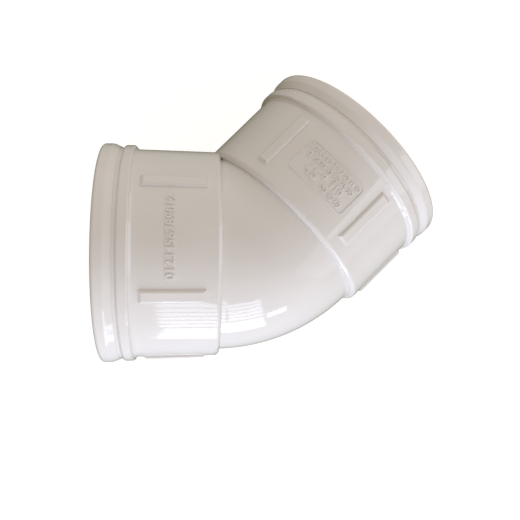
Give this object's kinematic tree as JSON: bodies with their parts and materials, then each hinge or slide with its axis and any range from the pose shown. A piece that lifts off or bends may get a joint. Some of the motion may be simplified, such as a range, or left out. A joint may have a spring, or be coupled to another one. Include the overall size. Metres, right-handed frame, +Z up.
{
  "type": "pvc duct elbow",
  "caption": "45 degree push-fit elbow for round duct pipe, with a sealed socket and a pull-off retaining cap at each end.",
  "frame": {"origin": "on socket A's axis at its pipe stop", "axes": "both socket axes lie in the XY plane, +Z is up with the elbow lying on its side, and the mouth of socket A faces -X"},
  "size_m": [0.19, 0.1661, 0.1244],
  "materials": {
    "white_pvc": "glossy moulded",
    "seal_rubber": "matt moulded"
  },
  "bodies": {
    "elbow": {"elbow_body": "white_pvc", "seal_ring_a": "seal_rubber", "seal_ring_b": "seal_rubber"},
    "cap_a": {"retaining_cap_a": "white_pvc"},
    "cap_b": {"retaining_cap_b": "white_pvc"}
  },
  "joints": [
    {"name": "cap_a_pull", "type": "slide", "parent": "elbow", "child": "cap_a", "axis": [-1, 0, 0], "range_m": [0, 0.03]},
    {"name": "cap_b_pull", "type": "slide", "parent": "elbow", "child": "cap_b", "axis": [0.7071, 0.7071, 0], "range_m": [0, 0.03]}
  ]
}
